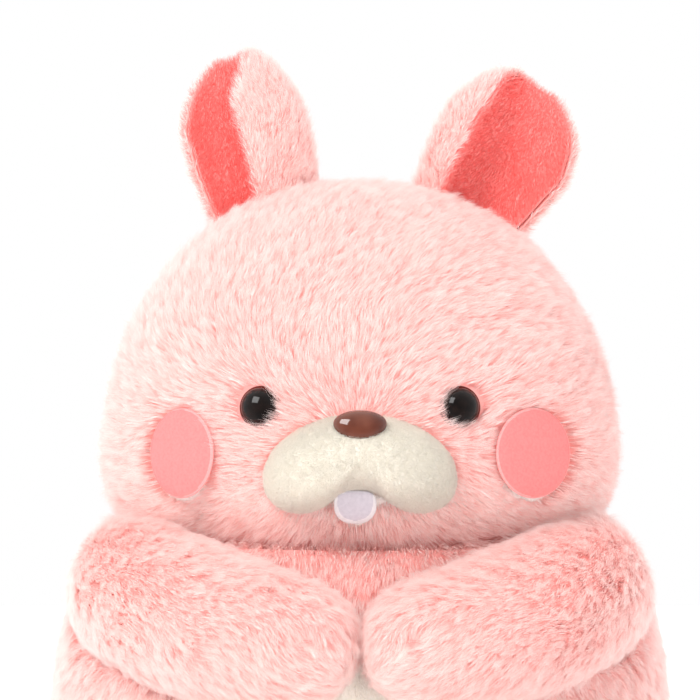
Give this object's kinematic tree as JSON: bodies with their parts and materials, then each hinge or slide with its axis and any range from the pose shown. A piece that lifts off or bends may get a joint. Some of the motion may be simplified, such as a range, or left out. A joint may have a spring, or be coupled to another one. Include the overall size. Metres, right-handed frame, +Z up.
{
  "type": "plush rabbit toy",
  "caption": "Sitting stuffed rabbit of sewn pile panels, with rolled ears, safety eyes and nose, padded muzzle, arms, legs and tail.",
  "frame": {"origin": "on the floor under the middle of the toy's bounding box", "axes": "+Z up, -Y the way the face looks, +X the rabbit's own left side"},
  "size_m": [0.266, 0.2638, 0.369],
  "materials": {
    "pink_fur": "long soft pile",
    "coral_pile": "short pile",
    "coral_felt": "flat short nap",
    "cream_pile": "short pile",
    "white_felt": "flat felt",
    "stuffing": "loose polyester fibre",
    "eye_black": "gloss",
    "nose_brown": "gloss",
    "locking_washer": "satin",
    "thread": "sewing thread"
  },
  "bodies": {
    "torso": {"torso_left_panel": "pink_fur", "torso_right_panel": "pink_fur", "belly_panel": "cream_pile", "base_panel": "pink_fur", "torso_stuffing": "stuffing"},
    "neck": {"neck_ladder_stitch": "thread"},
    "head": {"head_face_panel": "pink_fur", "head_back_left_panel": "pink_fur", "head_back_right_panel": "pink_fur", "head_stuffing": "stuffing", "eye_left": "eye_black", "eye_left_washer": "locking_washer", "eye_right": "eye_black", "eye_right_washer": "locking_washer", "nose": "nose_brown", "nose_washer": "locking_washer", "muzzle_cover": "cream_pile", "muzzle_padding": "stuffing", "tooth": "white_felt", "cheek_left": "coral_felt", "cheek_right": "coral_felt"},
    "ear_left": {"ear_left_outer_panel": "pink_fur", "ear_left_lining": "coral_pile"},
    "ear_right": {"ear_right_outer_panel": "pink_fur", "ear_right_lining": "coral_pile"},
    "arm_left": {"arm_left_upper_panel": "pink_fur", "arm_left_lower_panel": "pink_fur", "arm_left_stuffing": "stuffing", "paw_stitch_left": "thread"},
    "arm_right": {"arm_right_upper_panel": "pink_fur", "arm_right_lower_panel": "pink_fur", "arm_right_stuffing": "stuffing", "paw_stitch_right": "thread"},
    "leg_left": {"leg_left_upper_panel": "pink_fur", "leg_left_lower_panel": "pink_fur", "leg_left_sole": "cream_pile", "leg_left_stuffing": "stuffing"},
    "leg_right": {"leg_right_upper_panel": "pink_fur", "leg_right_lower_panel": "pink_fur", "leg_right_sole": "cream_pile", "leg_right_stuffing": "stuffing"},
    "tail": {"tail_cover": "cream_pile", "tail_stuffing": "stuffing"}
  },
  "joints": [
    {"name": "head_nod", "type": "hinge", "parent": "torso", "child": "neck", "pos_m": [0, 0.004, 0.166], "axis": [1, 0, 0], "range_deg": [-4, 4], "stiffness_Nm_per_rad": 1.6},
    {"name": "head_turn", "type": "hinge", "parent": "neck", "child": "head", "pos_m": [0, 0.004, 0.166], "axis": [0, 0, 1], "range_deg": [-10, 10], "stiffness_Nm_per_rad": 0.5},
    {"name": "ear_left_flop", "type": "hinge", "parent": "head", "child": "ear_left", "pos_m": [0.04, 0.012, 0.289], "axis": [1, 0, 0], "range_deg": [-8, 8], "stiffness_Nm_per_rad": 0.02},
    {"name": "ear_right_flop", "type": "hinge", "parent": "head", "child": "ear_right", "pos_m": [-0.04, 0.012, 0.289], "axis": [1, 0, 0], "range_deg": [-8, 8], "stiffness_Nm_per_rad": 0.02},
    {"name": "arm_left_swing", "type": "hinge", "parent": "torso", "child": "arm_left", "pos_m": [0.091, -0.038, 0.139], "axis": [0, 0, 1], "range_deg": [0, 20], "stiffness_Nm_per_rad": 0.1},
    {"name": "arm_right_swing", "type": "hinge", "parent": "torso", "child": "arm_right", "pos_m": [-0.091, -0.038, 0.139], "axis": [0, 0, -1], "range_deg": [0, 20], "stiffness_Nm_per_rad": 0.1},
    {"name": "leg_left_lift", "type": "hinge", "parent": "torso", "child": "leg_left", "pos_m": [0.06, -0.062, 0.0345], "axis": [-1, 0, 0], "range_deg": [0, 15], "stiffness_Nm_per_rad": 0.15},
    {"name": "leg_right_lift", "type": "hinge", "parent": "torso", "child": "leg_right", "pos_m": [-0.06, -0.062, 0.0345], "axis": [-1, 0, 0], "range_deg": [0, 15], "stiffness_Nm_per_rad": 0.15},
    {"name": "tail_wag", "type": "hinge", "parent": "torso", "child": "tail", "pos_m": [0, 0.09, 0.044], "axis": [0, 0, 1], "range_deg": [-10, 10], "stiffness_Nm_per_rad": 0.03}
  ]
}
